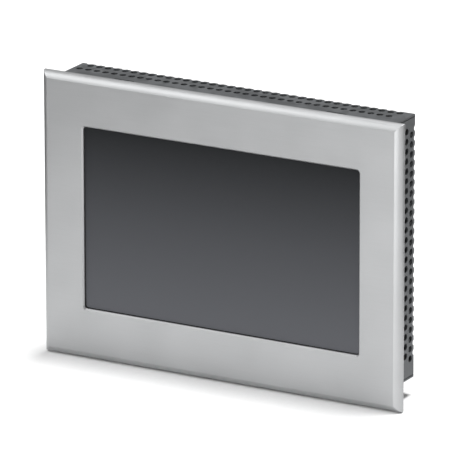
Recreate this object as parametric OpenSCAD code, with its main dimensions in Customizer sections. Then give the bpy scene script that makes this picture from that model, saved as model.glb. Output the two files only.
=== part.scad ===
// Panel-mount touch panel for operating a machine.
// The front faces -Y, the housing runs back along +Y and +Z is up.
// The origin is the centre of the cabinet cut-out, on the plane where the gasket meets the cabinet.

/* [Bezel] */
// Width of the bezel
bezel_w = 203; // [200:1:206]
// Height of the bezel
bezel_h = 147; // [145:1:150]
// Front face to seat plane
bezel_t = 5; // [4.6:0.1:6]
// Width of the sloping edge seen from the front
bevel_w = 3.6; // [2:0.1:4]
// Depth of the sloping edge
bevel_d = 3.8; // [2:0.1:3.8]
// How far the bezel's centre lies right of the cut-out's centre
bezel_x = 1.5; // [1:0.5:3]
// How far the bezel's centre lies above the cut-out's centre
bezel_z = -3; // [-3:0.5:-2]

/* [Screen] */
// Width of the window in the bezel
window_w = 156; // [150:1:158]
// Height of the window
window_h = 94.6; // [92:0.2:96]
// Corner radius of the window
window_r = 1.5; // [1:0.5:3]
// Depth from the bezel's face to the touch film
window_recess = 1.6; // [1.4:0.1:1.8]

/* [Housing] */
// Width of the rear housing
housing_w = 188; // [187:1:190]
// Height of the rear housing
housing_h = 135; // [134:1:137]
// Seat plane to the housing's rear face
housing_d = 28; // [26:0.5:30]
// Thickness of the housing's sheet steel
sheet = 1; // [0.8:0.1:1.2]
// Outside radius of the housing's bends
bend_r = 1.8; // [1.4:0.1:2.5]

/* [Perforation] */
// Distance between neighbouring holes
pitch = 5; // [4.8:0.1:5]
// Hole diameter
hole_d = 3.5; // [2.5:0.1:3.6]
// Holes in one row along the top
top_holes = 36; // [10:1:36]
// Holes in one column down a side
side_holes = 24; // [10:1:24]
// Rows on the rear face below the top bend
rear_rows = 5; // [0:1:6]
// Holes in one row of the rear face
rear_holes = 32; // [10:1:32]

/* [Sockets] */
// Pole spacing of the supply terminal block
pole_pitch = 5.08; // [5:0.08:5.08]
// Travel of the reset button
reset_travel = 0.5; // [0.2:0.1:0.5]
// Travel of a selector slider
dip_travel = 1.7; // [1:0.1:1.7]

/* [Hidden] */
$fn = 48;
eps = 0.1;

// depths from front to back
bezel_front = -bezel_t;
gasket_t = 0.6;
bezel_back = -gasket_t;
adhesive_t = 0.2;
film_y = bezel_front + window_recess + adhesive_t;
film_t = 0.2;
glass_t = 1.6;
glass_back = film_y + film_t + glass_t;
seal_t = 0.4;
tray_front = glass_back + seal_t;
tray_t = 5.4;
chassis_y = tray_front + tray_t;
board_gap = 4;
board_y = chassis_y + sheet + board_gap;
board_t = 1.6;
parts_y = board_y + board_t;
rear_in = housing_d - sheet;

// screen stack, seen from the front
screen_x = bezel_x + 0.5;
screen_z = bezel_z + 0.3;
touch_w = 166;
touch_h = 104;
lcd_w = 165;
lcd_h = 100;
tray_wall = 0.5;
cell_w = lcd_w - 2 * tray_wall - 0.4;
cell_h = lcd_h - 2 * tray_wall - 0.4;
cell_back = chassis_y - tray_wall;
led_h = 3.8;

// fastener positions and radii (M3)
m3_hole = 1.5;
m3_shank = 1.45;
m3_clear = 1.7;
m3_head = 2.8;
m3_head_h = 1.8;
boss_r = 3.2;
boss_z = 60.5;
pillar_x = 87;
pillars = [for (x = [-1, 1], z = [-1, 1]) [x * pillar_x, z * boss_z]];
chassis_holes = [for (x = [-45, 0, 45], z = [-1, 1]) [x, z * boss_z]];
board_holes = [for (x = [-74, 0, 74], z = [-34, 37]) [x, z]];

// mainboard outline
board_w = 160;
board_top = 42;
board_bottom = -housing_h / 2 + sheet + 0.5;

// sockets along the lower edge, left to right
outer_z = -housing_h / 2;
face_z = outer_z + 0.2;
terminal_x = -66;
earth_x = -50.5;
serial_x = -29.5;
reset_x = -9;
ethernet_x = 4;
usb_device_x = 21.5;
usb_host_x = 37.5;
card_x = 53.5;
dip_x = 69.5;
serial_y = parts_y + 6.6;
earth_y = parts_y + 6;
reset_y = parts_y + 3;
card_y = parts_y + 1;
dip_y = parts_y + 3.2;
screw_z = outer_z + 6;
wire_y = parts_y + 4;
tiny_gap = 0.3;

// clamp slots, hidden behind the bezel's flange
slot_y = 8;
slot_x = 60;
slot_l = 12;
slot_w = 3.2;

row_step = pitch;

// ---- shared shapes ----

// A flat outline in X and Z, made solid from y0 to y1
module plate_y(y0, y1) translate([0, y1, 0]) rotate([90, 0, 0]) linear_extrude(y1 - y0) children();

// A flat outline in X and Y, made solid from z0 to z1
module plate_z(z0, z1) translate([0, 0, z0]) linear_extrude(z1 - z0) children();

// A flat outline in Y and Z, made solid from x0 to x1
module plate_x(x0, x1) translate([x0, 0, 0]) rotate([90, 0, 90]) linear_extrude(x1 - x0) children();

// A box by its two corners
module block(low, high) translate(low) cube(high - low);

// A round bar along Y at one place in X and Z
module rod_y(at, r, y0, y1) translate([at[0], y0, at[1]]) rotate([-90, 0, 0]) cylinder(r = r, h = y1 - y0);

// A round bar along Z at one place in X and Y
module rod_z(at, r, z0, z1) translate([at[0], at[1], z0]) cylinder(r = r, h = z1 - z0);

// A rectangle centred on a point
module panel(at, w, h) translate(at) square([w, h], center = true);

// A rectangle with round corners
module round_panel(at, w, h, r) translate(at) {
    square([w - 2 * r, h], center = true);
    square([w, h - 2 * r], center = true);
    for (x = [-1, 1], y = [-1, 1])
        translate([x * (w / 2 - r), y * (h / 2 - r)])
            circle(r);
}

// A slot with round ends, lying along X
module slot(at, l, w) translate(at) {
    square([l - w, w], center = true);
    for (x = [-1, 1])
        translate([x * (l - w) / 2, 0])
            circle(w / 2);
}

// A pan-head screw along Y: the head's seat is at y, the shank runs forward
module pan_screw(at, y, shank_l) difference() {
    union() {
        rod_y(at, m3_head, y, y + m3_head_h);
        rod_y(at, m3_shank, y - shank_l, y);
    }
    for (turn = [0, 90])
        translate([at[0], y + m3_head_h, at[1]])
            rotate([0, turn, 0])
                cube([3.4, 1.8, 0.7], center = true);
}

// ---- front ----

// Bezel outline as seen from above or from the side: bevelled front, short rim, flat back
function bevel_outline(size, mid) = [
    [mid - size / 2, bezel_back],
    [mid + size / 2, bezel_back],
    [mid + size / 2, bezel_front + bevel_d],
    [mid + size / 2 - bevel_w, bezel_front],
    [mid - size / 2 + bevel_w, bezel_front],
    [mid - size / 2, bezel_front + bevel_d]
];

module bezel_blank() intersection() {
    plate_z(bezel_z - bezel_h, bezel_z + bezel_h)
        polygon(bevel_outline(bezel_w, bezel_x));
    plate_x(bezel_x - bezel_w, bezel_x + bezel_w)
        polygon([for (p = bevel_outline(bezel_h, bezel_z)) [p[1], p[0]]]);
}

module front_bezel() color("#b4b6b8") difference() {
    union() {
        bezel_blank();
        for (at = concat(pillars, chassis_holes))
            rod_y(at, boss_r, bezel_back - eps, chassis_y);
    }
    plate_y(bezel_front - eps, bezel_back)
        round_panel([screen_x, screen_z], window_w, window_h, window_r);
    plate_y(film_y - adhesive_t, bezel_back + eps)
        round_panel([screen_x, screen_z], touch_w + 6, touch_h + 4, 2);
    for (at = concat(pillars, chassis_holes))
        rod_y(at, m3_hole, bezel_front + 3, chassis_y + eps);
}

module touch_film() color("#2b2d2f") plate_y(film_y, film_y + film_t)
    panel([screen_x, screen_z], touch_w, touch_h);

module touch_glass() color("#30343a") plate_y(film_y + film_t, glass_back)
    panel([screen_x, screen_z], touch_w, touch_h);

module touch_adhesive() color("#141414") plate_y(film_y - adhesive_t, film_y) difference() {
    panel([screen_x, screen_z], touch_w, touch_h);
    panel([screen_x, screen_z], window_w + 1.6, window_h + 1.6);
}

// The tail leaves the glass beside the display, runs back and turns in to its socket
tail_x = screen_x + lcd_w / 2 + 0.1;
tail_back = board_y - 1.8;
module touch_tail() color("#b5722c") plate_z(-8, 2) polygon([
    [tail_x, glass_back],
    [tail_x + 0.2, glass_back],
    [tail_x + 0.2, tail_back],
    [72, tail_back],
    [72, tail_back - 0.2],
    [tail_x, tail_back - 0.2]
]);

module touch_socket() color("#d8d2c0") block([72, tail_back, -9], [77, board_y, 3]);

module display_seal() color("#1c1c1c") plate_y(glass_back, tray_front) difference() {
    panel([screen_x, screen_z], lcd_w, lcd_h);
    panel([screen_x, screen_z], 156, 96);
}

// ---- display ----

cable_z = 20;
cable_w = 20;
module lcd_tray() color("#a9acad") difference() {
    plate_y(tray_front, chassis_y)
        panel([screen_x, screen_z], lcd_w, lcd_h);
    plate_y(tray_front - eps, cell_back)
        panel([screen_x, screen_z], cell_w + 0.4, cell_h + 0.4);
    plate_y(cell_back - eps, chassis_y + eps)
        panel([0, cable_z + 0.15], cable_w + 1.2, 1.5);
}

module lcd_glass() color("#22262b") plate_y(tray_front, tray_front + 1.6)
    panel([screen_x, screen_z], cell_w, cell_h);

module diffuser_sheet() color("#f2f2ee") plate_y(tray_front + 1.6, tray_front + 2)
    panel([screen_x, screen_z], cell_w, cell_h);

module light_guide() color("#e9eef0") plate_y(tray_front + 2, cell_back)
    panel([screen_x, screen_z + led_h / 2], cell_w, cell_h - led_h);

module led_strip() color("#f4f0d8") plate_y(tray_front + 2, cell_back)
    panel([screen_x, screen_z - cell_h / 2 + led_h / 2 - 0.1], cell_w, led_h - 0.2);

cable_back = board_y - 2;
module display_cable() color("#c07a30") plate_x(-cable_w / 2, cable_w / 2) polygon([
    [cell_back, cable_z],
    [cell_back, cable_z + 0.3],
    [cable_back, cable_z + 0.3],
    [cable_back, 11],
    [cable_back - 0.3, 11],
    [cable_back - 0.3, cable_z]
]);

module display_socket() color("#ece6d6") block([-12, cable_back, 10], [12, board_y, 15]);

module panel_gasket() color("#26282a") plate_y(bezel_back, 0) difference() {
    panel([bezel_x, bezel_z], bezel_w - 1.2, bezel_h - 1.2);
    panel([0, 0], housing_w + 2.4, housing_h + 1.8);
}

// ---- chassis and mainboard ----

chassis_w = 180;
chassis_h = 130;
flange_d = 4.5;
module chassis_plate() color("#8f9396") difference() {
    union() {
        plate_y(chassis_y, chassis_y + sheet)
            panel([0, 0], chassis_w, chassis_h);
        for (side = [0, 1])
            mirror([0, 0, side])
                block([-chassis_w / 2, chassis_y, chassis_h / 2 - sheet],
                      [chassis_w / 2, chassis_y + flange_d, chassis_h / 2]);
    }
    for (at = concat(pillars, chassis_holes))
        rod_y(at, m3_clear, chassis_y - eps, chassis_y + sheet + eps);
    for (at = board_holes)
        rod_y(at, 2.15, chassis_y - eps, chassis_y + sheet + eps);
    plate_y(chassis_y - eps, chassis_y + sheet + eps) {
        panel([0, 16], 30, 14);
        panel([tail_x + 0.1, -3], 1, 12);
        panel([-40, 5], 30, 30);
        panel([40, 5], 30, 30);
    }
}

module chassis_screws() color("#c9cbcc")
    for (at = chassis_holes)
        pan_screw(at, chassis_y + sheet, 7);

module corner_pillars() color("#c4b98a")
    for (at = pillars)
        difference() {
            union() {
                translate([at[0], chassis_y + sheet, at[1]])
                    rotate([-90, 0, 0])
                        cylinder(r = 3.1, h = rear_in - chassis_y - sheet, $fn = 6);
                rod_y(at, m3_shank, chassis_y - 5.4, chassis_y + sheet);
            }
            rod_y(at, m3_hole, rear_in - 12, rear_in + eps);
        }

module board_standoffs() color("#c9cbcc")
    for (at = board_holes)
        difference() {
            union() {
                translate([at[0], chassis_y + sheet, at[1]])
                    rotate([-90, 0, 0])
                        cylinder(r = 2.9, h = board_gap, $fn = 6);
                rod_y(at, 2.1, chassis_y, chassis_y + sheet);
            }
            rod_y(at, m3_hole, chassis_y - eps, board_y + eps);
        }

module mainboard() color("#1d5a3a") difference() {
    block([-board_w / 2, board_y, board_bottom], [board_w / 2, parts_y, board_top]);
    for (at = board_holes)
        rod_y(at, m3_clear, board_y - eps, parts_y + eps);
}

module board_screws() color("#c9cbcc")
    for (at = board_holes)
        pan_screw(at, parts_y, 5);

cpu_x = 22;
cpu_z = 6;
cpu_top = parts_y + 2.2;
pad_top = cpu_top + 0.5;
module processor() color("#2a2a2c") plate_y(parts_y, cpu_top)
    panel([cpu_x, cpu_z], 23, 23);

module thermal_pad() color("#9fb2c4") plate_y(cpu_top, pad_top)
    panel([cpu_x, cpu_z], 20, 20);

sink = 44;
fins = 9;
module heat_sink() color("#3a3d40") {
    fin_t = 1.6;
    step = (sink - fin_t) / (fins - 1);
    plate_z(cpu_z - sink / 2, cpu_z + sink / 2) {
        translate([cpu_x - sink / 2, pad_top])
            square([sink, 2.6]);
        for (i = [0 : fins - 1])
            translate([cpu_x - sink / 2 + i * step, pad_top])
                square([fin_t, rear_in - 1.5 - pad_top]);
    }
}

module memory_chips() color("#232325") plate_y(parts_y, parts_y + 1.1)
    for (z = [-6, 12])
        panel([-18, z], 11, 14);

module flash_chip() color("#232325") plate_y(parts_y, parts_y + 1.1)
    panel([-18, 30], 18, 12);

module power_inductor() color("#55585a") difference() {
    plate_y(parts_y, parts_y + 6)
        round_panel([-62, -36], 12.5, 12.5, 2.5);
    rod_y([-62, -36], 4.6, parts_y + 5.2, parts_y + 6 + eps);
}

module capacitors() color("#8f8a86")
    for (x = [-72, -62, -52]) {
        plate_y(parts_y, parts_y + 1)
            panel([x, -20], 8.4, 8.4);
        rod_y([x, -20], 4, parts_y + 1, parts_y + 10);
    }

cell_x = -58;
cell_z = 16;
module battery_holder() color("#1e1e20") difference() {
    rod_y([cell_x, cell_z], 11.8, parts_y, parts_y + 4.4);
    rod_y([cell_x, cell_z], 10.2, parts_y + 1, parts_y + 4.4 + eps);
    block([cell_x - 4, parts_y + 1, cell_z + 8], [cell_x + 4, parts_y + 5, cell_z + 13]);
}

module coin_cell() color("#c7c9cb") {
    rod_y([cell_x, cell_z], 10, parts_y + 1, parts_y + 3.6);
    rod_y([cell_x, cell_z], 8.8, parts_y + 3.6, parts_y + 4.2);
}

// ---- sockets on the lower edge ----

jack_w = 16;
jack_back = parts_y + 13.2;
jack_top = face_z + 21;
mouth_y = parts_y + 2;
mouth_w = 11.8;
mouth_h = 8.2;
module ethernet_socket() color("#a6a9ab") difference() {
    block([ethernet_x - jack_w / 2, parts_y, face_z], [ethernet_x + jack_w / 2, jack_back, jack_top]);
    block([ethernet_x - mouth_w / 2, mouth_y, face_z - eps],
          [ethernet_x + mouth_w / 2, mouth_y + mouth_h, face_z + 15]);
    block([ethernet_x - 3.1, mouth_y, face_z - eps],
          [ethernet_x + 3.1, mouth_y + mouth_h + 2.2, face_z + 15]);
    block([ethernet_x - 4.4, mouth_y - 1.1, face_z + 1],
          [ethernet_x + 4.4, mouth_y + eps, face_z + 13]);
}

module ethernet_contacts() color("#d2ac4a")
    for (i = [0 : 7])
        rod_z([ethernet_x + (i - 3.5) * 1.02, mouth_y - 0.6], 0.22, face_z + 1, face_z + 13);

// A drawn metal shell open at the lower edge
module socket_shell(x, w, y0, y1, depth) difference() {
    wall = 0.4;
    block([x - w / 2, y0, face_z], [x + w / 2, y1, face_z + depth]);
    block([x - w / 2 + wall, y0 + wall, face_z - eps], [x + w / 2 - wall, y1 - wall, face_z + depth - wall]);
}

usb_y = parts_y + 0.2;
usb_host_w = 13.2;
usb_host_h = 5.9;
usb_host_l = 14;
module usb_host_shell() color("#c2c4c5")
    socket_shell(usb_host_x, usb_host_w, usb_y, usb_y + usb_host_h, usb_host_l);

module usb_host_tongue() color("#e8e8e4") {
    block([usb_host_x - 6.1, usb_y + 0.5, face_z + 11], [usb_host_x + 6.1, usb_y + 5.4, face_z + 13.5]);
    block([usb_host_x - 5.5, usb_y + 0.9, face_z + 1], [usb_host_x + 5.5, usb_y + 2.7, face_z + 11]);
}

usb_device_w = 12;
usb_device_h = 11.2;
usb_device_l = 15.5;
module usb_device_shell() color("#c2c4c5")
    socket_shell(usb_device_x, usb_device_w, usb_y, usb_y + usb_device_h, usb_device_l);

module usb_device_tongue() color("#e8e8e4") {
    block([usb_device_x - 5.5, usb_y + 0.5, face_z + 12.4],
          [usb_device_x + 5.5, usb_y + 10.7, face_z + 15]);
    block([usb_device_x - 2.8, usb_y + 4, face_z + 1.4],
          [usb_device_x + 2.8, usb_y + 7.2, face_z + 12.4]);
}

// Outline of the serial connector's shroud, wider towards the rear
module shroud_outline(grow) translate([serial_x, serial_y]) {
    corner = 1.9;
    top = 8.45 + grow - corner;
    bottom = 7.6 + grow - corner;
    half = 4.2 + grow - corner;
    hull()
        for (side = [-1, 1]) {
            translate([side * top, half])
                circle(corner, $fn = 32);
            translate([side * bottom, -half])
                circle(corner, $fn = 32);
        }
}

post_gap = 25;
serial_in = outer_z + sheet;
module serial_shell() color("#c2c4c5") {
    difference() {
        plate_z(serial_in, serial_in + 0.8)
            panel([serial_x, serial_y], 30.8, 12.5);
        plate_z(serial_in - eps, serial_in + 0.8 + eps)
            shroud_outline(-0.4);
        for (side = [-1, 1])
            rod_z([serial_x + side * post_gap / 2, serial_y], 1.6, serial_in - eps, serial_in + 1);
    }
    plate_z(outer_z - 5.6, serial_in) difference() {
        shroud_outline(0);
        shroud_outline(-0.4);
    }
}

module serial_body() color("#1d1d1f") {
    plate_z(serial_in + 0.8, serial_in + 10)
        panel([serial_x, serial_y], 19.2, 10.6);
    plate_z(outer_z, serial_in + 0.8)
        shroud_outline(-0.5);
}

module serial_pins() color("#d2ac4a") {
    for (i = [0 : 4])
        rod_z([serial_x + (i - 2) * 2.77, serial_y + 1.42], 0.5, outer_z - 4.8, outer_z);
    for (i = [0 : 3])
        rod_z([serial_x + (i - 1.5) * 2.77, serial_y - 1.42], 0.5, outer_z - 4.8, outer_z);
}

post_l = 5;
post_bore = 1.42;
module serial_posts() color("#c9cbcc")
    for (side = [-1, 1])
        translate([serial_x + side * post_gap / 2, serial_y, 0])
            difference() {
                union() {
                    translate([0, 0, outer_z - post_l])
                        cylinder(r = 2.75, h = post_l, $fn = 6);
                    rod_z([0, 0], 1.5, outer_z, outer_z + 6);
                }
                rod_z([0, 0], post_bore, outer_z - post_l - eps, outer_z - 0.4);
            }

card_w = 11;
card_t = 1;
card_slot_w = 14.4;
card_slot_t = 2;
module card_slot() color("#c2c4c5") difference() {
    block([card_x - card_slot_w / 2, parts_y, face_z],
          [card_x + card_slot_w / 2, parts_y + card_slot_t, face_z + 15.5]);
    block([card_x - card_w / 2 - 0.2, card_y - 0.7, face_z - eps],
          [card_x + card_w / 2 + 0.2, card_y + 0.7, face_z + 14.8]);
}

module memory_card() color("#1b1b1d") difference() {
    block([card_x - card_w / 2, card_y - card_t / 2, outer_z - 1],
          [card_x + card_w / 2, card_y + card_t / 2, outer_z + 14]);
    block([card_x + card_w / 2 - 1.3, card_y - card_t, outer_z + 7.5],
          [card_x + card_w / 2 + 1, card_y + card_t, outer_z + 14 + eps]);
}

module reset_switch() color("#2a2a2c") difference() {
    block([reset_x - 3, parts_y, outer_z + 2], [reset_x + 3, parts_y + 6, outer_z + 6]);
    rod_z([reset_x, reset_y], 1.9, outer_z + 2 - eps, outer_z + 4.4);
}

module reset_button() color("#b8332c")
    rod_z([reset_x, reset_y], 1.6, outer_z + 0.2, outer_z + 4.4 - reset_travel - tiny_gap);

dip_gap = 2.54;
dip_w = 1;
dip_l = 1.3;
dip_slot = dip_l + dip_travel + 2 * tiny_gap;
dip_low = dip_y - dip_slot / 2;
dip_body_w = 10.8;
dip_body_h = 6.4;
module dip_switch() color("#2f5fa8") difference() {
    block([dip_x - dip_body_w / 2, parts_y, face_z + 0.3],
          [dip_x + dip_body_w / 2, parts_y + dip_body_h, face_z + 4.8]);
    for (i = [0 : 3])
        block([dip_x + (i - 1.5) * dip_gap - dip_w / 2 - 0.2, dip_low, face_z],
              [dip_x + (i - 1.5) * dip_gap + dip_w / 2 + 0.2, dip_low + dip_slot, face_z + 2.2]);
}

module dip_slider(i) color("#f0f0ec")
    block([dip_x + (i - 2.5) * dip_gap - dip_w / 2, dip_low + tiny_gap, face_z + 0.1],
          [dip_x + (i - 2.5) * dip_gap + dip_w / 2, dip_low + tiny_gap + dip_l, face_z + 1.9]);

function pole_x(i) = terminal_x + (i - 2) * pole_pitch;
block_w = 16.4;
block_d = 12.4;
block_h = 12;
block_back = parts_y + block_d;
module terminal_block() color("#2c6e49") difference() {
    block([terminal_x - block_w / 2, parts_y, face_z],
          [terminal_x + block_w / 2, block_back, face_z + block_h]);
    for (i = [1 : 3]) {
        rod_z([pole_x(i), wire_y], 1.8, face_z - eps, screw_z);
        rod_z([pole_x(i), wire_y], 1.2, screw_z, face_z + block_h + eps);
        rod_y([pole_x(i), screw_z], 2, wire_y, block_back + eps);
        block([pole_x(i) - 2.2, wire_y - 2.6, screw_z - 2.6],
              [pole_x(i) + 2.2, wire_y + 3.2, screw_z + 2.6]);
    }
}

module terminal_clamps() color("#c9a54a")
    for (i = [1 : 3])
        difference() {
            block([pole_x(i) - 2, wire_y - 2.4, screw_z - 2.4], [pole_x(i) + 2, wire_y + 3, screw_z + 2.4]);
            rod_z([pole_x(i), wire_y - 0.4], 1.6, screw_z - 3, screw_z + 3);
            rod_y([pole_x(i), screw_z], 1.25, wire_y, wire_y + 3 + eps);
        }

screw_seat = block_back - 4;
module terminal_screw(i) color("#b9bcbe") difference() {
    union() {
        rod_y([pole_x(i), screw_z], 1.9, screw_seat, screw_seat + 1.8);
        rod_y([pole_x(i), screw_z], 1.2, wire_y + 1.6, screw_seat);
    }
    block([pole_x(i) - 2, screw_seat + 1, screw_z - 0.35], [pole_x(i) + 2, screw_seat + 2, screw_z + 0.35]);
}

earth_r = 1.65;
module earth_insert() color("#c9cbcc") difference() {
    union() {
        rod_z([earth_x, earth_y], 3.2, outer_z, outer_z + sheet);
        rod_z([earth_x, earth_y], 4.2, outer_z + sheet, outer_z + 6);
    }
    rod_z([earth_x, earth_y], earth_r, outer_z - eps, outer_z + 6 + eps);
}

// ---- rear housing: one folded sheet, kept as its five walls ----

cover_in = housing_h / 2 - sheet;
slit = 0.4;

// A folded sheet's outline from its end: square at the front, two round bends at the rear
module bent_outline(half) {
    translate([-half, bezel_back])
        square([2 * half, housing_d - bend_r - bezel_back]);
    translate([-half + bend_r, housing_d - 2 * bend_r])
        square([2 * (half - bend_r), 2 * bend_r]);
    for (side = [-1, 1])
        translate([side * (half - bend_r), housing_d - bend_r])
            circle(bend_r);
}

// The part of the housing's outer form that lies between two corners of a box
module cover_part(low, high) intersection() {
    plate_z(-housing_h, housing_h)
        bent_outline(housing_w / 2);
    plate_x(-housing_w, housing_w)
        mirror([1, -1])
            bent_outline(housing_h / 2);
    block(low, high);
}

// Places along one row of the staggered pattern
function row_at(i, count, row) = (i - (count - 1) / 2) * pitch + (row % 2 == 0 ? 1 : -1) * pitch / 4;

// A round cutter through a wall or a bend, tilted back from upright
module cut_hole(at, tilt) translate(at) rotate([-tilt, 0, 0])
    cylinder(d = hole_d, h = 5 * bend_r, center = true);

// Two rows on the top wall, a little left of the middle
top_mid = -1.5;
top_rows_y = [housing_d - 4.6, housing_d - 11.2];
module top_rows()
    for (row = [0, 1], i = [0 : top_holes - 1])
        cut_hole([row_at(i, top_holes, row) + top_mid, top_rows_y[row], housing_h / 2], 0);

// One row on the top bend
bend_in = bend_r / 3;
module top_bend_row()
    for (i = [0 : top_holes - 1])
        cut_hole([row_at(i, top_holes, 1) + top_mid, housing_d - bend_in, housing_h / 2 - bend_in], 45);

// Rows on the rear face, counted down from the top bend
module rear_rows_of_holes()
    for (row = [1 : 1 : rear_rows], i = [0 : rear_holes - 1])
        cut_hole([row_at(i, rear_holes, row + 1), housing_d, housing_h / 2 - row * row_step], 90);

// Two columns on a side wall
side_mid = 1.5;
module side_columns(side)
    for (col = [1, 2], j = [0 : side_holes - 1])
        translate([side * housing_w / 2, housing_d - col * row_step, row_at(j, side_holes, col) + side_mid])
            rotate([0, 90, 0])
                cylinder(d = hole_d, h = 4 * sheet, center = true);

// One column on a side bend
module side_bend_column(side)
    for (j = [0 : side_holes - 1])
        translate([side * (housing_w / 2 - bend_in), housing_d - bend_in,
                   row_at(j, side_holes, 0) + side_mid])
            rotate([0, 90, side * 45])
                cylinder(d = hole_d, h = 5 * bend_r, center = true);

// Slots for the two clamps of the upper or the lower wall
module clamp_slots(side)
    plate_z(side * housing_h / 2 - 2 * sheet, side * housing_h / 2 + 2 * sheet)
        for (x = [-1, 1])
            slot([x * slot_x, slot_y], slot_l, slot_w);

// Openings in the lower wall for the sockets
module socket_openings() {
    gap = 0.3;
    jack_high = jack_back - parts_y;
    plate_z(outer_z - eps, outer_z + sheet + eps) {
        translate([terminal_x - block_w / 2 - gap, parts_y - gap])
            square([block_w + 2 * gap, block_d + 2 * gap]);
        translate([ethernet_x - jack_w / 2 - gap, parts_y - gap])
            square([jack_w + 2 * gap, jack_high + 2 * gap]);
        translate([usb_host_x - usb_host_w / 2 - gap, usb_y - gap])
            square([usb_host_w + 2 * gap, usb_host_h + 2 * gap]);
        translate([usb_device_x - usb_device_w / 2 - gap, usb_y - gap])
            square([usb_device_w + 2 * gap, usb_device_h + 2 * gap]);
        translate([card_x - card_slot_w / 2 - gap, parts_y - gap])
            square([card_slot_w + 2 * gap, card_slot_t + 2 * gap]);
        translate([dip_x - dip_body_w / 2 - gap, parts_y - gap])
            square([dip_body_w + 2 * gap, dip_body_h + 2 * gap]);
        panel([serial_x, serial_y], 19.6, 10.6);
        for (side = [-1, 1])
            translate([serial_x + side * post_gap / 2, serial_y])
                circle(1.7);
        translate([earth_x, earth_y])
            circle(3.25);
        translate([reset_x, reset_y])
            circle(2);
    }
}

module cover_top() color("#7d8082") difference() {
    cover_part([-housing_w, bezel_back, cover_in], [housing_w, rear_in, housing_h]);
    top_rows();
    top_bend_row();
    clamp_slots(1);
}

module cover_bottom() color("#7d8082") difference() {
    cover_part([-housing_w, bezel_back, -housing_h], [housing_w, rear_in, -cover_in]);
    socket_openings();
    clamp_slots(-1);
}

// The side walls end short of the upper and lower walls, so a slit shows at each corner
module cover_side(side) color("#7d8082") difference() {
    cover_part([min(side * housing_w, side * (housing_w / 2 - sheet)), bezel_back, slit - cover_in],
               [max(side * housing_w, side * (housing_w / 2 - sheet)), rear_in, cover_in - slit]);
    side_columns(side);
    side_bend_column(side);
}

module rear_cover() color("#7d8082") difference() {
    cover_part([-housing_w, rear_in, -housing_h], [housing_w, housing_d + sheet, housing_h]);
    top_bend_row();
    rear_rows_of_holes();
    for (side = [-1, 1])
        side_bend_column(side);
    for (at = pillars)
        rod_y(at, m3_clear, rear_in - eps, housing_d + eps);
    for (i = [1 : 3])
        rod_y([pole_x(i), screw_z], 2.4, rear_in - eps, housing_d + eps);
}

module cover_screws() color("#d0d2d3")
    for (at = pillars)
        pan_screw(at, housing_d, 10);

module rating_plate() color("#d9dadb") plate_y(housing_d, housing_d + 0.3)
    round_panel([0, -18], 74, 34, 2);

front_bezel();
touch_film();
touch_glass();
touch_adhesive();
touch_tail();
touch_socket();
display_seal();
lcd_tray();
lcd_glass();
diffuser_sheet();
light_guide();
led_strip();
display_cable();
display_socket();
panel_gasket();
chassis_plate();
chassis_screws();
corner_pillars();
board_standoffs();
mainboard();
board_screws();
processor();
thermal_pad();
heat_sink();
memory_chips();
flash_chip();
power_inductor();
capacitors();
battery_holder();
coin_cell();
ethernet_socket();
ethernet_contacts();
usb_host_shell();
usb_host_tongue();
usb_device_shell();
usb_device_tongue();
serial_shell();
serial_body();
serial_pins();
serial_posts();
card_slot();
memory_card();
reset_switch();
reset_button();
dip_switch();
dip_slider(1);  // dip_slider_1
dip_slider(2);  // dip_slider_2
dip_slider(3);  // dip_slider_3
dip_slider(4);  // dip_slider_4
terminal_block();
terminal_clamps();
terminal_screw(1);  // terminal_screw_1
terminal_screw(2);  // terminal_screw_2
terminal_screw(3);  // terminal_screw_3
earth_insert();
rear_cover();
cover_top();
cover_bottom();
cover_side(-1);  // cover_left
cover_side(1);  // cover_right
cover_screws();
rating_plate();
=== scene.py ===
"""Visual model of a panel-mount touch panel: builds its pieces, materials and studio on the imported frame."""

import math

import bpy
from mathutils import Matrix, Vector


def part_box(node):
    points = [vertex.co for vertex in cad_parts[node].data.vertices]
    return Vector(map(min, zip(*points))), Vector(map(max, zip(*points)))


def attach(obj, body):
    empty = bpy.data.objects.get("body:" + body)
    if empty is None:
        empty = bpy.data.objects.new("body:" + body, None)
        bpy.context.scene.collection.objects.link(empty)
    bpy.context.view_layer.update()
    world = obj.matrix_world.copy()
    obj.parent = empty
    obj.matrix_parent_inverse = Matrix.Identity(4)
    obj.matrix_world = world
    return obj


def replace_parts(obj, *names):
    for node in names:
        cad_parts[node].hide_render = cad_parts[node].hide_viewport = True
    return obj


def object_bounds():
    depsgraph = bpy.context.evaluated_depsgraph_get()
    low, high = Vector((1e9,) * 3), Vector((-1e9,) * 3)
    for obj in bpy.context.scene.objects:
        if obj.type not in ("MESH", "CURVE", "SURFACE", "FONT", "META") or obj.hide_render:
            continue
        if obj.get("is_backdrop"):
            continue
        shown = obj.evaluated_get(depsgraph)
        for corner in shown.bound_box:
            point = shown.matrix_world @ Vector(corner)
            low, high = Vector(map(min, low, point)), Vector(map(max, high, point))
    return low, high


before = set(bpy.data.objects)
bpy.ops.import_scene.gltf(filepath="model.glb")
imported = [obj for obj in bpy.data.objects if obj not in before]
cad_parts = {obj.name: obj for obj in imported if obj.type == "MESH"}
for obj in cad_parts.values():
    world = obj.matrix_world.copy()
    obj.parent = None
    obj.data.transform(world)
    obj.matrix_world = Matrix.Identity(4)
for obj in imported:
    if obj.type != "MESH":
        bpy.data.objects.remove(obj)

bl_info = {
    "name": "Touch panel visual",
    "version": (1, 0, 0),
    "blender": (4, 5, 0),
    "location": "3D View > Sidebar > Touch Panel",
    "description": "Builds the visual pieces, materials and studio of a panel-mount touch panel",
    "category": "Object",
}

MM = 0.001
PLATFORM = "panel"

# How quickly a noise's finer octaves fade, and how far a surface's roughness strays either way
SOFT = 0.55
UNEVEN = 0.06

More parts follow.
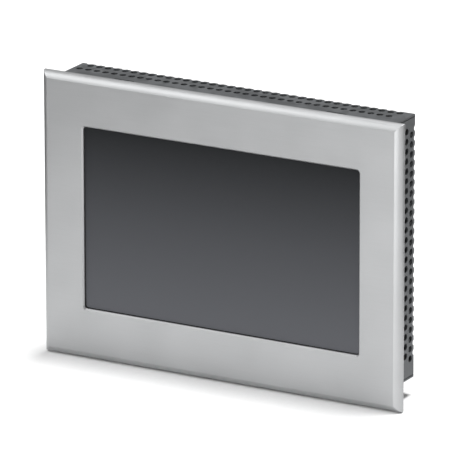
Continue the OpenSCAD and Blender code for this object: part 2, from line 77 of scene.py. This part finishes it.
# Sizes of the bezel that its box doesn't give, in mm
BEZEL_BACK = -0.6
BEVEL_WIDTH = 3.6
BEVEL_DEPTH = 3.8
WINDOW_WIDTH = 156.0
WINDOW_HEIGHT = 94.6
WINDOW_RADIUS = 1.5
TAPE_DEPTH = 0.2
POCKET = (172, 108, 2)
BOSS_X = (-87, -45, 0, 45, 87)
BOSS_Z = (-60.5, 60.5)
BOSS_RADIUS = 3.2
BOSS_BORE = 1.5
BOSS_END = 4.4
BEVEL_STEPS = 10
CHAMFER_LEAN = 1.15

# The lens, and how the camera turns, tilts and rolls, in degrees
LENS = 544.5
VIEW = (29.495, 17.124, -0.083)


# ---- meshes ----

def rounded_rectangle(centre, width, height, radius, y, steps=6):
    """Points of a rectangle with round corners in the X-Z plane at depth y, all in mm."""
    cx, cz = centre
    points = []
    for sx, sz, start in ((1, 1, 0), (-1, 1, 90), (-1, -1, 180), (1, -1, 270)):
        ox = cx + sx * (width / 2 - radius)
        oz = cz + sz * (height / 2 - radius)
        for i in range(steps + 1):
            angle = math.radians(start + 90 * i / steps)
            points.append((ox + radius * math.cos(angle), y, oz + radius * math.sin(angle)))
    return points


def mesh_piece(name, points, faces, sharp=30.0):
    """A mesh object from points in mm, smooth where its faces meet at less than the sharp angle."""
    mesh = bpy.data.meshes.new(name)
    mesh.from_pydata([Vector(p) * MM for p in points], [], faces)
    mesh.validate()
    mesh.shade_smooth()
    mesh.set_sharp_from_angle(angle=math.radians(sharp))
    piece = bpy.data.objects.new(name, mesh)
    bpy.context.scene.collection.objects.link(piece)
    return piece


def lofted(rings, around=True):
    """Points and faces of a skin over rings of equal count; the last ring joins the first if around."""
    count = len(rings[0])
    points = [p for ring in rings for p in ring]
    faces = []
    for k in range(len(rings) if around else len(rings) - 1):
        a = k * count
        b = ((k + 1) % len(rings)) * count
        for i in range(count):
            j = (i + 1) % count
            faces.append((a + i, b + i, b + j, a + j))
    return points, faces


def joined(*parts):
    """One list of points and one of faces from several."""
    points, faces = [], []
    for more_points, more_faces in parts:
        start = len(points)
        points += more_points
        faces += [tuple(start + i for i in face) for face in more_faces]
    return points, faces


def tube_along_y(centre, outer, inner, y0, y1, steps=32):
    """Points and faces of a round tube along Y in mm."""
    cx, cz = centre

    def circle(radius, y):
        return [(cx + radius * math.cos(math.tau * i / steps), y,
                 cz + radius * math.sin(math.tau * i / steps)) for i in range(steps)]
    return lofted([circle(outer, y0), circle(outer, y1), circle(inner, y1), circle(inner, y0)])


def slab(rings):
    """Points and faces of a solid skin over rings, closed by its first and last ring."""
    points, faces = lofted(rings, around=False)
    count = len(rings[0])
    last = len(points) - count
    faces.append(tuple(range(count)))
    faces.append(tuple(last + i for i in reversed(range(count))))
    return points, faces


# ---- materials ----

def linear(code):
    """Linear colour from an sRGB hex code."""
    channels = [int(code[i:i + 2], 16) / 255 for i in (0, 2, 4)]
    return tuple(c / 12.92 if c <= 0.04045 else ((c + 0.055) / 1.055) ** 2.4 for c in channels) + (1.0,)


def add(material, kind, inputs, **settings):
    """Adds a node: settings are its properties, inputs its input values or the sockets that feed them."""
    made = material.node_tree.nodes.new(kind)
    for key, value in settings.items():
        setattr(made, key, value)
    for key, value in inputs.items():
        if isinstance(value, bpy.types.NodeSocket):
            material.node_tree.links.new(value, made.inputs[key])
        else:
            made.inputs[key].default_value = value
    return made


def per_feature(size, stretch=(1, 1, 1)):
    """Scale of a pattern whose features are that many mm wide, drawn out along an axis by stretch."""
    return tuple(1 / (size * MM * s) for s in stretch)


def new_material(name):
    """An empty node material and its place in each object's own metres."""
    material = bpy.data.materials.new(name)
    material.use_nodes = True
    material.node_tree.nodes.clear()
    return material, add(material, "ShaderNodeTexCoord", {}).outputs["Object"]


def close_material(material, inputs):
    """Ends a material with a surface shader and the output."""
    shader = add(material, "ShaderNodeBsdfPrincipled", inputs)
    add(material, "ShaderNodeOutputMaterial", {"Surface": shader.outputs["BSDF"]})
    return material


def plain_finish(name, dark, light, rough, metallic=0.0, grain=0.3, relief=0.004, stretch=(1, 1, 1),
                 edge=0.0, mottle=8.0, clear=0.0):
    """A moulded, rolled or plated finish: slow mottling between two close tones, a fine grain that
    roughens unevenly, and soft edges."""
    material, place = new_material(name)
    wide = add(material, "ShaderNodeMapping", {"Vector": place, "Scale": per_feature(mottle)})
    slow = add(material, "ShaderNodeTexNoise", {
        "Vector": wide.outputs["Vector"], "Scale": 1.0, "Detail": 2.0, "Roughness": SOFT})
    close = add(material, "ShaderNodeMapping", {"Vector": place, "Scale": per_feature(grain, stretch)})
    fine = add(material, "ShaderNodeTexNoise", {
        "Vector": close.outputs["Vector"], "Scale": 1.0, "Detail": 3.0, "Roughness": SOFT})
    both = add(material, "ShaderNodeMath", {0: slow.outputs["Fac"], 1: fine.outputs["Fac"]}, operation="ADD")
    share = add(material, "ShaderNodeMapRange", {"Value": both.outputs[0], "From Min": 0.7, "From Max": 1.3})
    tone = add(material, "ShaderNodeMix", {0: share.outputs["Result"], 6: linear(dark), 7: linear(light)},
               data_type="RGBA")
    uneven = add(material, "ShaderNodeMapRange", {
        "Value": fine.outputs["Fac"], "From Min": 0.3, "From Max": 0.7,
        "To Min": rough - UNEVEN, "To Max": rough + UNEVEN})
    raised = {"Height": fine.outputs["Fac"], "Strength": 1.0, "Distance": relief * MM}
    if edge:
        soft = add(material, "ShaderNodeBevel", {"Radius": edge * MM}, samples=4)
        raised["Normal"] = soft.outputs["Normal"]
    return close_material(material, {
        "Base Color": tone.outputs[2], "Roughness": uneven.outputs["Result"], "Metallic": metallic,
        "Transmission Weight": clear,
        "Normal": add(material, "ShaderNodeBump", raised).outputs["Normal"]})


def anodised_bezel():
    """Satin anodised aluminium: a soft grey sheen with a faint horizontal brushing over a blasted
    grain, and slow clouds in the tone."""
    material, place = new_material("Satin brushed and anodised aluminium")
    strands = []
    for size, stretch, detail in ((0.18, (1, 1, 1), 4.0), (0.35, (40, 1, 1), 4.0), (30.0, (1, 1, 1), 1.0)):
        scaled = add(material, "ShaderNodeMapping", {"Vector": place, "Scale": per_feature(size, stretch)})
        strands.append(add(material, "ShaderNodeTexNoise", {
            "Vector": scaled.outputs["Vector"], "Scale": 1.0, "Detail": detail,
            "Roughness": SOFT}).outputs["Fac"])
    grain, brushed, cloud = strands
    both = add(material, "ShaderNodeMath", {0: brushed, 1: cloud}, operation="ADD")
    share = add(material, "ShaderNodeMapRange", {"Value": both.outputs[0], "From Min": 0.7, "From Max": 1.3})
    tone = add(material, "ShaderNodeMix", {0: share.outputs["Result"], 6: linear("a5a6a7"),
                                           7: linear("aeafb0")}, data_type="RGBA")
    fleck = add(material, "ShaderNodeMapRange", {
        "Value": grain, "From Min": 0.3, "From Max": 0.7, "To Min": 0.0, "To Max": 0.2})
    rubbed = add(material, "ShaderNodeMix", {0: fleck.outputs["Result"], 6: tone.outputs[2],
                                             7: linear("bbbcbd")}, data_type="RGBA")
    uneven = add(material, "ShaderNodeMapRange", {
        "Value": brushed, "From Min": 0.3, "From Max": 0.7, "To Min": 0.42, "To Max": 0.52})
    height = add(material, "ShaderNodeMath", {0: grain, 1: brushed}, operation="ADD")
    edge = add(material, "ShaderNodeBevel", {"Radius": 0.12 * MM}, samples=4)
    relief = add(material, "ShaderNodeBump", {
        "Height": height.outputs[0], "Strength": 1.0, "Distance": 0.002 * MM,
        "Normal": edge.outputs["Normal"]})
    return close_material(material, {
        "Base Color": rubbed.outputs[2], "Roughness": uneven.outputs["Result"], "Metallic": 1.0,
        "Normal": relief.outputs["Normal"]})


def galvanised_sheet():
    """Dull galvanised sheet: mid-grey with soft zinc crystals, faint rolling lines and a thin bright
    burr at each cut edge."""
    material, place = new_material("Dull galvanised sheet steel")
    crystals = add(material, "ShaderNodeTexVoronoi", {"Vector": place, "Scale": 1 / (6 * MM),
                                                      "Randomness": 1.0})
    spangle = add(material, "ShaderNodeSeparateColor", {"Color": crystals.outputs["Color"]})
    lines = add(material, "ShaderNodeMapping", {"Vector": place, "Scale": per_feature(0.4, (14, 1, 1))})
    rolled = add(material, "ShaderNodeTexNoise", {
        "Vector": lines.outputs["Vector"], "Scale": 1.0, "Detail": 3.0, "Roughness": SOFT})
    both = add(material, "ShaderNodeMath", {0: spangle.outputs["Red"], 1: rolled.outputs["Fac"]},
               operation="ADD")
    share = add(material, "ShaderNodeMapRange", {"Value": both.outputs[0], "From Min": 0.2, "From Max": 1.4})
    tone = add(material, "ShaderNodeMix", {0: share.outputs["Result"], 6: linear("5e6062"),
                                           7: linear("6c6e70")}, data_type="RGBA")
    uneven = add(material, "ShaderNodeMapRange", {
        "Value": both.outputs[0], "From Min": 0.2, "From Max": 1.4, "To Min": 0.42, "To Max": 0.56})
    edge = add(material, "ShaderNodeBevel", {"Radius": 0.12 * MM}, samples=4)
    relief = add(material, "ShaderNodeBump", {
        "Height": rolled.outputs["Fac"], "Strength": 1.0, "Distance": 0.003 * MM,
        "Normal": edge.outputs["Normal"]})
    return close_material(material, {
        "Base Color": tone.outputs[2], "Roughness": uneven.outputs["Result"], "Metallic": 0.85,
        "Normal": relief.outputs["Normal"]})


def screen_film(settings):
    """Anti-glare hard coat over a dark display with a fine sparkle; its colour runs from near-black at the
    top to paler low down, a painted reflection of the bench."""
    material, place = new_material("Anti-glare hard-coated touch film")
    low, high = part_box("touch_film")
    axes = add(material, "ShaderNodeSeparateXYZ", {"Vector": place})
    height = add(material, "ShaderNodeMapRange", {
        "Value": axes.outputs["Z"], "From Min": low.z, "From Max": high.z, "To Min": 0.0, "To Max": 1.0})
    # Painted reflection: the base colour is pale at the bottom and near-black at the top, as if the film
    # mirrored the bright bench
    fade = add(material, "ShaderNodeValToRGB", {"Fac": height.outputs["Result"]})
    fade.color_ramp.elements[0].color = linear(settings.painted_reflection_low_tone)
    fade.color_ramp.elements[1].color = linear(settings.painted_reflection_top_tone)
    fade.color_ramp.elements.new(0.5).color = linear(settings.painted_reflection_middle_tone)
    close = add(material, "ShaderNodeMapping", {"Vector": place, "Scale": per_feature(0.12)})
    sparkle = add(material, "ShaderNodeTexNoise", {
        "Vector": close.outputs["Vector"], "Scale": 1.0, "Detail": 2.0, "Roughness": SOFT})
    fleck = add(material, "ShaderNodeMapRange", {
        "Value": sparkle.outputs["Fac"], "From Min": 0.3, "From Max": 0.7, "To Min": 0.0, "To Max": 0.03})
    tone = add(material, "ShaderNodeMix", {0: fleck.outputs["Result"], 6: fade.outputs["Color"],
                                           7: linear("8c939a")}, data_type="RGBA")
    uneven = add(material, "ShaderNodeMapRange", {
        "Value": sparkle.outputs["Fac"], "From Min": 0.3, "From Max": 0.7, "To Min": 0.44, "To Max": 0.5})
    relief = add(material, "ShaderNodeBump", {
        "Height": sparkle.outputs["Fac"], "Strength": 1.0, "Distance": 0.0012 * MM})
    return close_material(material, {
        "Base Color": tone.outputs[2], "Roughness": uneven.outputs["Result"],
        "Normal": relief.outputs["Normal"], "Specular IOR Level": 0.1})


def circuit_board():
    """Green solder mask over copper: darker lanes between tracks, a low ripple over the copper and a
    waxy shine."""
    material, place = new_material("Solder-masked glass-epoxy board")
    lanes = add(material, "ShaderNodeTexBrick", {
        "Vector": place, "Scale": 1 / (9 * MM), "Mortar Size": 0.012, "Color1": linear("1f5c3d"),
        "Color2": linear("1a5035"), "Mortar": linear("123a27")})
    scaled = add(material, "ShaderNodeMapping", {"Vector": place, "Scale": per_feature(0.8)})
    ripple = add(material, "ShaderNodeTexNoise", {
        "Vector": scaled.outputs["Vector"], "Scale": 1.0, "Detail": 3.0, "Roughness": SOFT})
    uneven = add(material, "ShaderNodeMapRange", {
        "Value": ripple.outputs["Fac"], "From Min": 0.3, "From Max": 0.7, "To Min": 0.3, "To Max": 0.42})
    relief = add(material, "ShaderNodeBump", {
        "Height": lanes.outputs["Fac"], "Strength": 1.0, "Distance": -0.03 * MM})
    return close_material(material, {
        "Base Color": lanes.outputs["Color"], "Roughness": uneven.outputs["Result"],
        "Normal": relief.outputs["Normal"]})


# Each material, what it gives the eye, its nodes, and its tones, roughness and grain
FINISHES = {
    # Smooth and nearly black, with a clear reflection
    "float glass": (["touch_glass", "lcd_glass"], dict(dark="1c2024", light="22272c", rough=0.1, grain=3,
                                                        relief=0.0005)),
    # Dull black ring with a soft tooth
    "acrylic tape": (["touch_adhesive"], dict(dark="0b0b0b", light="121212", rough=0.6, grain=0.5)),
    # Matt black with fine open pores
    "closed-cell foam rubber": (["display_seal", "panel_gasket"],
                                dict(dark="161617", light="242526", rough=0.85, grain=0.35, relief=0.05)),
    # Glossy amber with the tracks' grain along its run
    "amber polyimide film": (["touch_tail", "display_cable"],
                             dict(dark="9c5c1e", light="c07a30", rough=0.3, grain=0.6, stretch=(1, 6, 1))),
    # Pale cream with a soft shine
    "moulded ivory nylon": (["touch_socket", "display_socket"],
                            dict(dark="cfc8b4", light="ddd7c6", rough=0.5)),
    # Bright, with fine lines across
    "rolled stainless sheet": (["lcd_tray"], dict(dark="a3a6a8", light="b6b9bb", rough=0.34, metallic=1.0,
                                                  grain=0.15, stretch=(20, 1, 1))),
    # Even milky white
    "white polyester film": (["diffuser_sheet"], dict(dark="e6e6e2", light="f2f2ee", rough=0.55)),
    # Pale and glassy
    "clear acrylic sheet": (["light_guide"], dict(dark="d5dcdf", light="e9eef0", rough=0.12)),
    # Warm white, mottled by its lamps
    "white lamp board": (["led_strip"], dict(dark="e0dcc4", light="f4f0d8", rough=0.5, mottle=3.0)),
    # Even silver-grey with long rolling lines
    "electro-galvanised sheet": (["chassis_plate"],
                                 dict(dark="8f9396", light="a2a6a8", rough=0.4, metallic=1.0, grain=0.3,
                                      stretch=(12, 1, 1))),
    # Bright blue-grey with worn, shining edges
    "zinc-plated turned steel": (["chassis_screws", "board_standoffs", "board_screws", "cover_screws",
                                  "serial_posts", "earth_insert", "terminal_screw_1", "terminal_screw_2",
                                  "terminal_screw_3"],
                                 dict(dark="b4b8bb", light="cfd2d4", rough=0.3, metallic=1.0, grain=0.12,
                                      mottle=2.0, edge=0.15)),
    # Warm silver with lathe lines
    "nickel-flashed turned brass": (["corner_pillars"], dict(dark="a89b70", light="c4b98a", rough=0.3,
                                                             metallic=1.0, grain=0.12, stretch=(1, 0.2, 1))),
    # Blasted charcoal face
    "moulded black epoxy": (["processor", "memory_chips", "flash_chip"],
                            dict(dark="1d1d1f", light="2a2a2c", rough=0.55, grain=0.15, relief=0.01)),
    # Dull grey-blue, soft to look at
    "filled silicone pad": (["thermal_pad"], dict(dark="8ea2b5", light="9fb2c4", rough=0.8)),
    # Soft black sheen with lines along the fins
    "black anodised extrusion": (["heat_sink"], dict(dark="232527", light="303336", rough=0.42, metallic=0.7,
                                                     grain=0.15, stretch=(1, 1, 16))),
    # Coarse dark-grey powder
    "pressed ferrite": (["power_inductor"], dict(dark="3c3e40", light="55585a", rough=0.7, grain=0.2,
                                                 relief=0.02)),
    # Bright, slightly streaked silver
    "drawn aluminium cans": (["capacitors"], dict(dark="9a9a9a", light="b2b2b2", rough=0.32, metallic=1.0)),
    # Black with a spark-eroded grain and soft edges
    "moulded black nylon": (["battery_holder", "serial_body", "reset_switch"],
                            dict(dark="161618", light="1f1f21", rough=0.5, grain=0.2, relief=0.008,
                                 edge=0.12)),
    # Clean, mirror-like silver
    "pressed stainless can": (["coin_cell"], dict(dark="b5b8ba", light="cdd0d2", rough=0.25, metallic=1.0)),
    # Silver with draw lines and soft edges
    "tin-plated drawn steel": (["ethernet_socket", "usb_host_shell", "usb_device_shell", "serial_shell",
                                "card_slot"],
                               dict(dark="a6a9ac", light="bfc2c4", rough=0.3, metallic=1.0, grain=0.2,
                                    stretch=(1, 1, 9), mottle=4.0, edge=0.12)),
    # Warm yellow and shiny
    "gold-flashed contacts": (["ethernet_contacts", "serial_pins"],
                              dict(dark="c09a3e", light="dcb65a", rough=0.24, metallic=1.0, grain=0.15)),
    # Off-white with a soft shine
    "moulded white nylon": (["usb_host_tongue", "usb_device_tongue", "dip_slider_1", "dip_slider_2",
                             "dip_slider_3", "dip_slider_4"],
                            dict(dark="dcdcd8", light="eeeeea", rough=0.45, grain=0.2, edge=0.08)),
    # Satin black with soft edges
    "moulded memory card": (["memory_card"], dict(dark="141416", light="1e1e20", rough=0.42, grain=0.15,
                                                  relief=0.008, edge=0.08)),
    # Clear red with a soft shine
    "moulded red button": (["reset_button"], dict(dark="a02a24", light="b8332c", rough=0.4, edge=0.15)),
    # Mid-blue with soft edges
    "moulded blue switch body": (["dip_switch"], dict(dark="274f8c", light="2f5fa8", rough=0.45, edge=0.12)),
    # Deep green with a fine grain
    "moulded green polyamide": (["terminal_block"], dict(dark="25603e", light="2f7a50", rough=0.42,
                                                         grain=0.25, relief=0.008, edge=0.15)),
    # Pale gold and shiny
    "nickel-plated brass clamps": (["terminal_clamps"], dict(dark="b59a50", light="cfb46a", rough=0.3,
                                                             metallic=1.0)),
}


# ---- settings and operators ----

class TouchPanelSettings(bpy.types.PropertyGroup):
    """Sizes and tones of the pieces that Blender makes."""
    bevel_start: bpy.props.FloatProperty(
        name="Bevel start angle", description="Slope of the bevel where it leaves the bezel's face",
        default=math.radians(24), subtype="ANGLE")
    bevel_end: bpy.props.FloatProperty(
        name="Bevel end angle", description="Slope of the bevel where it meets the rim",
        default=math.radians(82), subtype="ANGLE")
    corner: bpy.props.FloatProperty(
        name="Outer corner radius", description="Radius left on the bezel's mitred corners",
        default=0.0003, unit="LENGTH")
    chamfer: bpy.props.FloatProperty(
        name="Window chamfer", description="Chamfer where the bezel's face turns into the window",
        default=0.0007, unit="LENGTH")
    # The black border is printed ink that also serves as painted shadow of the gap under the window's edge
    border: bpy.props.FloatProperty(
        name="Black border", description="Width of the printed border that shows inside the window",
        default=0.0004, unit="LENGTH")
    # The three screen tones paint a reflection into the film's colour: paler low down, where it would mirror
    # the bench
    painted_reflection_top_tone: bpy.props.StringProperty(
        name="Upper painted reflection tone", description="sRGB code of the film near the upper edge", default="0a0b0c")
    painted_reflection_middle_tone: bpy.props.StringProperty(
        name="Middle painted reflection tone", description="sRGB code of the film at half height", default="3e3f42")
    painted_reflection_low_tone: bpy.props.StringProperty(
        name="Lower painted reflection tone", description="sRGB code of the film near the lower edge", default="535458")
    sun: bpy.props.FloatProperty(
        name="Overhead light", description="Strength of the broad light over the bench", default=3.3)
    air: bpy.props.FloatProperty(
        name="Room light", description="Strength of the even light from all round", default=0.33)
    softbox: bpy.props.FloatProperty(
        name="Softbox", description="Power of the softbox to the front right", default=7.0, unit="POWER")
    boom: bpy.props.FloatProperty(
        name="Boom light", description="Power of the softbox held over the front left", default=10.0,
        unit="POWER")
    bench: bpy.props.FloatProperty(
        name="Bench size", description="Length of the pale bench top", default=40.0, unit="LENGTH")


def options():
    """The scene's settings."""
    return bpy.context.scene.touch_panel


def flat_box(node):
    """A flat node's middle in X and Z, its width and height, and its front and back depth, in mm."""
    low, high = (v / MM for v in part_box(node))
    return ((low.x + high.x) / 2, (low.z + high.z) / 2), high.x - low.x, high.z - low.z, low.y, high.y


def painted(piece, material):
    """Gives an object one material."""
    piece.data.materials.clear()
    piece.data.materials.append(material)
    return piece


class PANEL_OT_bezel(bpy.types.Operator):
    """Build the bezel: mitred frame with a crowned bevel, window wall, film pocket and screw bosses"""
    bl_idname = "touch_panel.bezel"
    bl_label = "Bezel frame"

    def execute(self, context):
        settings = options()
        centre, width, height, front, _ = flat_box("front_bezel")
        middle, _, _, film, _ = flat_box("touch_film")
        corner = settings.corner / MM
        rings = [rounded_rectangle(centre, width, height, corner, BEZEL_BACK)]
        start, end = settings.bevel_start, settings.bevel_end
        for i in range(BEVEL_STEPS + 1):
            angle = end + (start - end) * i / BEVEL_STEPS
            inset = BEVEL_WIDTH * (math.sin(end) - math.sin(angle)) / (math.sin(end) - math.sin(start))
            depth = BEVEL_DEPTH * (math.cos(angle) - math.cos(end)) / (math.cos(start) - math.cos(end))
            rings.append(rounded_rectangle(centre, width - 2 * inset, height - 2 * inset, corner,
                                           front + BEVEL_DEPTH - depth))
        chamfer = settings.chamfer / MM
        seat = film - TAPE_DEPTH
        for grow, y in ((chamfer, front), (0.0, front + CHAMFER_LEAN * chamfer), (0.0, seat)):
            rings.append(rounded_rectangle(middle, WINDOW_WIDTH + 2 * grow, WINDOW_HEIGHT + 2 * grow,
                                           WINDOW_RADIUS + grow, y))
        for y in (seat, BEZEL_BACK):
            rings.append(rounded_rectangle(middle, *POCKET, y))
        tubes = [tube_along_y((x, z), BOSS_RADIUS, BOSS_BORE, BEZEL_BACK - 0.05, BOSS_END)
                 for x in BOSS_X for z in BOSS_Z]
        piece = mesh_piece("bezel_frame", *joined(lofted(rings), *tubes), sharp=12.0)
        painted(piece, anodised_bezel())
        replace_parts(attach(piece, PLATFORM), "front_bezel")
        return {"FINISHED"}


class PANEL_OT_screen(bpy.types.Operator):
    """Build the touch film and the black border round its edge, which is print and also a painted shadow gap
    under the bezel's lip
    """
    bl_idname = "touch_panel.screen"
    bl_label = "Touch film"

    def execute(self, context):
        settings = options()
        middle, width, height, front, back = flat_box("touch_film")
        film = mesh_piece("film_sheet", *slab([
            rounded_rectangle(middle, width - 0.1, height - 0.1, 1, back),
            rounded_rectangle(middle, width, height, 1, front + 0.08),
            rounded_rectangle(middle, width - 0.1, height - 0.1, 1, front + 0.03)]))
        painted(film, screen_film(settings))
        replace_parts(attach(film, PLATFORM), "touch_film")
        # Black ring round the window: print, and painted shadow where the bezel's lip would shade the film
        inset = settings.border / MM
        outside = (WINDOW_WIDTH + 1.2, WINDOW_HEIGHT + 1.2, WINDOW_RADIUS + 0.1)
        inside = (WINDOW_WIDTH - 2 * inset, WINDOW_HEIGHT - 2 * inset, WINDOW_RADIUS)
        border = mesh_piece("film_border_and_painted_shadow", *lofted([
            rounded_rectangle(middle, *outside, front + 0.03), rounded_rectangle(middle, *outside, front),
            rounded_rectangle(middle, *inside, front), rounded_rectangle(middle, *inside, front + 0.03)]))
        painted(border, plain_finish("Black ink and painted shadow gap", "060607", "0c0c0e", 0.55, grain=0.1,
                                     relief=0.001))
        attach(border, PLATFORM)
        return {"FINISHED"}


class PANEL_OT_rating_plate(bpy.types.Operator):
    """Build the blank rating plate: a film with a raised edge and ruled empty fields"""
    bl_idname = "touch_panel.rating_plate"
    bl_label = "Rating plate"

    def execute(self, context):
        middle, width, height, front, back = flat_box("rating_plate")
        plate = mesh_piece("plate_film", *slab([
            rounded_rectangle(middle, width, height, 2, front),
            rounded_rectangle(middle, width, height, 2, back - 0.08),
            rounded_rectangle(middle, width - 0.16, height - 0.16, 1.92, back - 0.02)]))
        painted(plate, plain_finish("Matt silver polyester film", "c6c8ca", "d2d4d6", 0.5, metallic=0.35,
                                    grain=0.2, relief=0.002))
        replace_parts(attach(plate, PLATFORM), "rating_plate")
        # Each rule: its middle, width and height; a frame, four lines across it and one upright
        edge_x, edge_z = width / 2 - 2, height / 2 - 1.6
        rules = [(0, edge_z, 2 * edge_x, 0.3), (0, -edge_z, 2 * edge_x, 0.3),
                 (-edge_x, 0, 0.3, 2 * edge_z), (edge_x, 0, 0.3, 2 * edge_z)]
        rules += [(0, edge_z - 6.1 * k, 2 * edge_x, 0.2) for k in (1, 2, 3, 4)]
        rules += [(12, -3, 0.2, height - 15.6)]
        bars = [slab([rounded_rectangle((middle[0] + x, middle[1] + z), w, h, 0.05, y, 2)
                      for y in (back - 0.04, back)]) for x, z, w, h in rules]
        ruled = mesh_piece("plate_rules", *joined(*bars))
        painted(ruled, plain_finish("Screen-printed grey ink", "3a3c3f", "4a4d50", 0.6, grain=0.1,
                                    relief=0.001))
        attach(ruled, PLATFORM)
        return {"FINISHED"}


class PANEL_OT_socket_lamps(bpy.types.Operator):
    """Build the two small lamps in the network socket's face"""
    bl_idname = "touch_panel.socket_lamps"
    bl_label = "Socket lamps"

    def execute(self, context):
        low, high = (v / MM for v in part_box("ethernet_socket"))
        for name, side, dark, light in (("lamp_left", -1, "2b6a30", "4f9a4a"),
                                        ("lamp_right", 1, "9c7a1c", "c9a236")):
            x = (low.x + high.x) / 2 + side * 5.9
            y = high.y - 1.5

            def square(grow, z):
                return [(x + sx * (1.4 + grow), y + sy * (0.8 + grow), z)
                        for sx, sy in ((-1, -1), (1, -1), (1, 1), (-1, 1))]
            lamp = mesh_piece(name, *slab([square(0, low.z + 0.6), square(0, low.z - 0.05),
                                           square(-0.15, low.z - 0.15)]))
            painted(lamp, plain_finish("Moulded lens " + name[5:], dark, light, 0.2, grain=0.3,
                                       relief=0.002, clear=0.3))
            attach(lamp, PLATFORM)
        return {"FINISHED"}


class PANEL_OT_cover(bpy.types.Operator):
    """Give the folded rear cover its galvanised finish"""
    bl_idname = "touch_panel.cover"
    bl_label = "Rear cover finish"

    def execute(self, context):
        sheet = galvanised_sheet()
        for name in ("rear_cover", "cover_top", "cover_bottom", "cover_left", "cover_right"):
            painted(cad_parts[name], sheet)
        return {"FINISHED"}


class PANEL_OT_inner_parts(bpy.types.Operator):
    """Give the fasteners, sockets, controls, board and display layers their finishes"""
    bl_idname = "touch_panel.inner_parts"
    bl_label = "Fasteners, sockets and inner parts"

    def execute(self, context):
        painted(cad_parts["mainboard"], circuit_board())
        for name, (nodes, look) in FINISHES.items():
            material = plain_finish(name[0].upper() + name[1:], **look)
            for node in nodes:
                painted(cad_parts[node], material)
        return {"FINISHED"}


class PANEL_OT_stage(bpy.types.Operator):
    """Build the studio: pale bench, soft lights and the camera"""
    bl_idname = "touch_panel.stage"
    bl_label = "Studio"

    def execute(self, context):
        settings = options()
        scene = context.scene
        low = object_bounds()[0].z / MM - 0.4
        half = settings.bench / MM / 2
        bench = mesh_piece("bench", [(-half, -half, low), (half, -half, low), (half, half, low),
                                     (-half, half, low)], [(0, 1, 2, 3)])
        painted(bench, plain_finish("Matt white laminate", "f2f2f2", "f6f6f6", 0.9, grain=2.0, relief=0.002,
                                    mottle=60.0))
        bench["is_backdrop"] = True
        world = bpy.data.worlds.new("Studio air")
        scene.world = world
        world.use_nodes = True
        world.node_tree.nodes["Background"].inputs["Color"].default_value = linear("ffffff")
        world.node_tree.nodes["Background"].inputs["Strength"].default_value = settings.air
        # Each light: where it stands, looking at the origin, and its strength and size
        for name, kind, at, values in (
                ("overhead", "SUN", (0.22, 0.27, 2.0), dict(energy=settings.sun, angle=math.radians(17))),
                ("boom", "AREA", (-0.72, -0.7, 1.0), dict(energy=settings.boom, size=1.1)),
                ("softbox", "AREA", (0.55, -1.3, 0.25), dict(energy=settings.softbox, size=0.6))):
            lamp = bpy.data.lights.new(name, kind)
            for key, value in values.items():
                setattr(lamp, key, value)
            light = bpy.data.objects.new(name, lamp)
            scene.collection.objects.link(light)
            light.location = at
            light.rotation_euler = (-Vector(at)).to_track_quat("-Z", "Y").to_euler()
            light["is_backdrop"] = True
        # Black cards that the metal mirrors as darker edges: one flat, three upright
        black = plain_finish("Black flocked card", "040404", "070707", 0.95, grain=1.0, relief=0.1)
        mat = mesh_piece("card_mat", [(x, y, low + 1) for x, y in ((-500, -700), (-150, -700), (-150, -330),
                                                                 (-500, -330))], [(0, 1, 2, 3)])
        painted(mat, black)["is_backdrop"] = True
        for name, start, end, tall in (("card_left", (-290, -60), (-310, 200), 300),
                                       ("card_front", (-560, -260), (-300, -560), 260),
                                       ("card_right", (260, 60), (340, 420), 300)):
            card = mesh_piece(name, [(*start, low + 1), (*end, low + 1), (*end, low + tall),
                                     (*start, low + tall)], [(0, 1, 2, 3)])
            painted(card, black)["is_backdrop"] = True
        lens = bpy.data.cameras.new("bench_camera")
        lens.sensor_width, lens.lens, lens.clip_end = 36.0, LENS, 100.0
        camera = bpy.data.objects.new("bench_camera", lens)
        scene.collection.objects.link(camera)
        turn, tilt, roll = (math.radians(angle) for angle in VIEW)
        right = Vector((math.cos(turn), math.sin(turn), 0))
        forward = Vector((-math.sin(turn) * math.cos(tilt), math.cos(turn) * math.cos(tilt), -math.sin(tilt)))
        up = right.cross(forward)
        rolled_right = right * math.cos(roll) + up * math.sin(roll)
        rolled_up = up * math.cos(roll) - right * math.sin(roll)
        pose = Matrix((rolled_right, rolled_up, -forward)).transposed().to_4x4()
        pose.translation = Vector((1.61170, -2.84098, 1.00804))
        camera.matrix_world = pose
        scene.camera = camera
        camera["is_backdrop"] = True
        scene.view_settings.view_transform = "Standard"
        return {"FINISHED"}


class PANEL_PT_touch_panel(bpy.types.Panel):
    """Lists the steps that build the touch panel"""
    bl_idname = "PANEL_PT_touch_panel"
    bl_label = "Touch Panel"
    bl_space_type = "VIEW_3D"
    bl_region_type = "UI"
    bl_category = "Touch Panel"

    def draw(self, context):
        for step in STEPS:
            self.layout.operator(step.bl_idname)
        for name in TouchPanelSettings.__annotations__:
            self.layout.prop(context.scene.touch_panel, name)


STEPS = (PANEL_OT_bezel, PANEL_OT_screen, PANEL_OT_rating_plate, PANEL_OT_socket_lamps, PANEL_OT_cover,
         PANEL_OT_inner_parts, PANEL_OT_stage)
CLASSES = (TouchPanelSettings,) + STEPS + (PANEL_PT_touch_panel,)


def register():
    for cls in CLASSES:
        bpy.utils.register_class(cls)
    bpy.types.Scene.touch_panel = bpy.props.PointerProperty(type=TouchPanelSettings)


def unregister():
    del bpy.types.Scene.touch_panel
    for cls in reversed(CLASSES):
        bpy.utils.unregister_class(cls)


def main():
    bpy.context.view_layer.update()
    register()
    bpy.ops.touch_panel.bezel()
    bpy.ops.touch_panel.screen()
    bpy.ops.touch_panel.rating_plate()
    bpy.ops.touch_panel.socket_lamps()
    bpy.ops.touch_panel.cover()
    bpy.ops.touch_panel.inner_parts()
    bpy.ops.touch_panel.stage()


if __name__ == "__main__":
    main()
